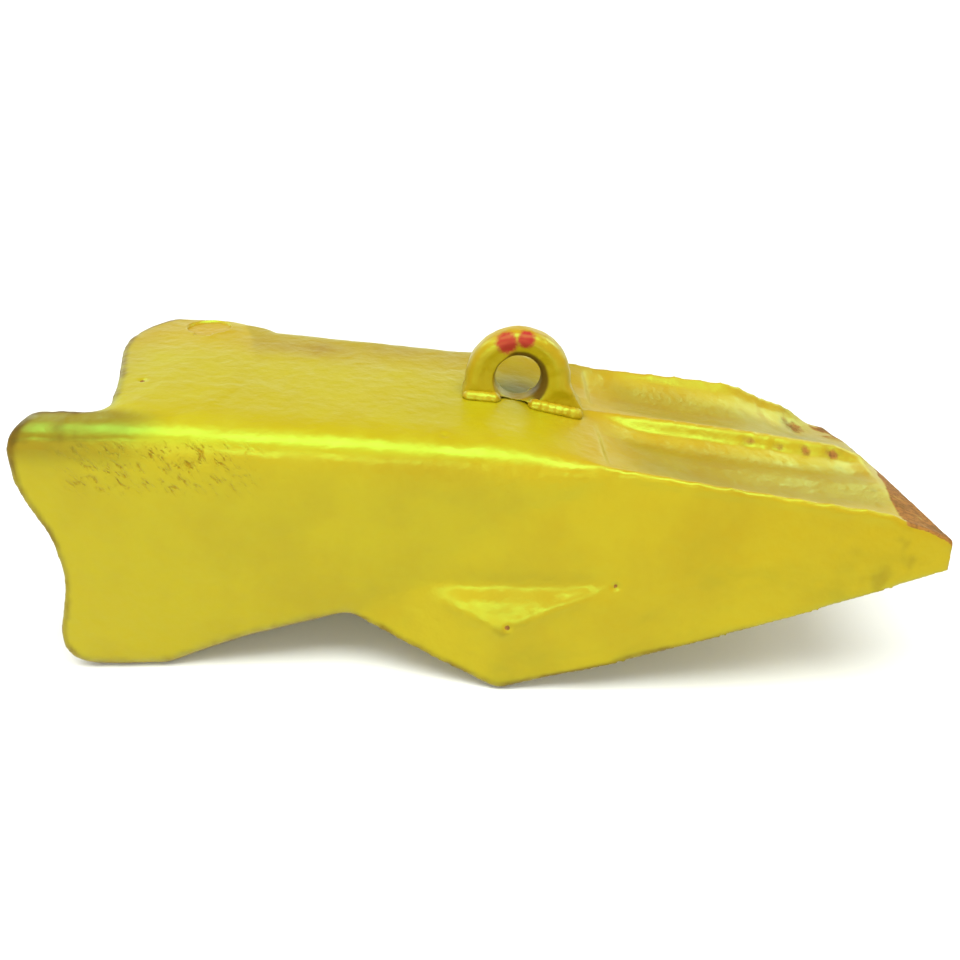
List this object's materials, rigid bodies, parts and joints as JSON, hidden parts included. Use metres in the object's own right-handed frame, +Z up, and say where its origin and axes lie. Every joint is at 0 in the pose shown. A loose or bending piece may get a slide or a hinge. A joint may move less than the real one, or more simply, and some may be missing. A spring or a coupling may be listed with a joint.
{
  "type": "excavator bucket tooth",
  "caption": "Hollow cast bucket tooth with a ribbed wedge blade, flared heel, two rear ears, a welded lifting eye and a sprung vertical lock pin.",
  "frame": {"origin": "on the floor, under the middle of the tooth's footprint, as it stands on its heel and the rear of its belly", "axes": "+X from the socket mouth to the digging edge, +Y to the lock side, +Z up"},
  "size_m": [0.64, 0.262, 0.2355],
  "materials": {
    "cast_body": "glossy yellow paint over rough sand-cast steel, rust showing at edges",
    "eye_steel": "glossy yellow paint with a dab of red marking paint on top",
    "weld_bead": "yellow paint over weld ripples",
    "pin_steel": "oiled machined steel with brown scale",
    "latch_steel": "ground hard steel",
    "cushion_rubber": "matt black rubber",
    "cap_rubber": "rubber painted over in the tooth's yellow"
  },
  "bodies": {
    "tooth": {"tooth_body": "cast_body", "lifting_eye": "eye_steel", "eye_weld_near_rear": "weld_bead", "eye_weld_near_front": "weld_bead", "eye_weld_far_rear": "weld_bead", "eye_weld_far_front": "weld_bead"},
    "lock_pin": {"lock_pin_body": "pin_steel", "lock_pin_cushion": "cushion_rubber", "lock_pin_cap": "cap_rubber"},
    "latch": {"lock_pin_latch": "latch_steel"}
  },
  "joints": [
    {"name": "lock_pin_slide", "type": "slide", "parent": "tooth", "child": "lock_pin", "axis": [0, 0, 1], "range_m": [0, 0.16]},
    {"name": "latch_press", "type": "slide", "parent": "lock_pin", "child": "latch", "axis": [0, 1, 0], "range_m": [0, 0.003], "stiffness_N_per_m": 8000, "deforming": ["lock_pin_cushion"]}
  ]
}
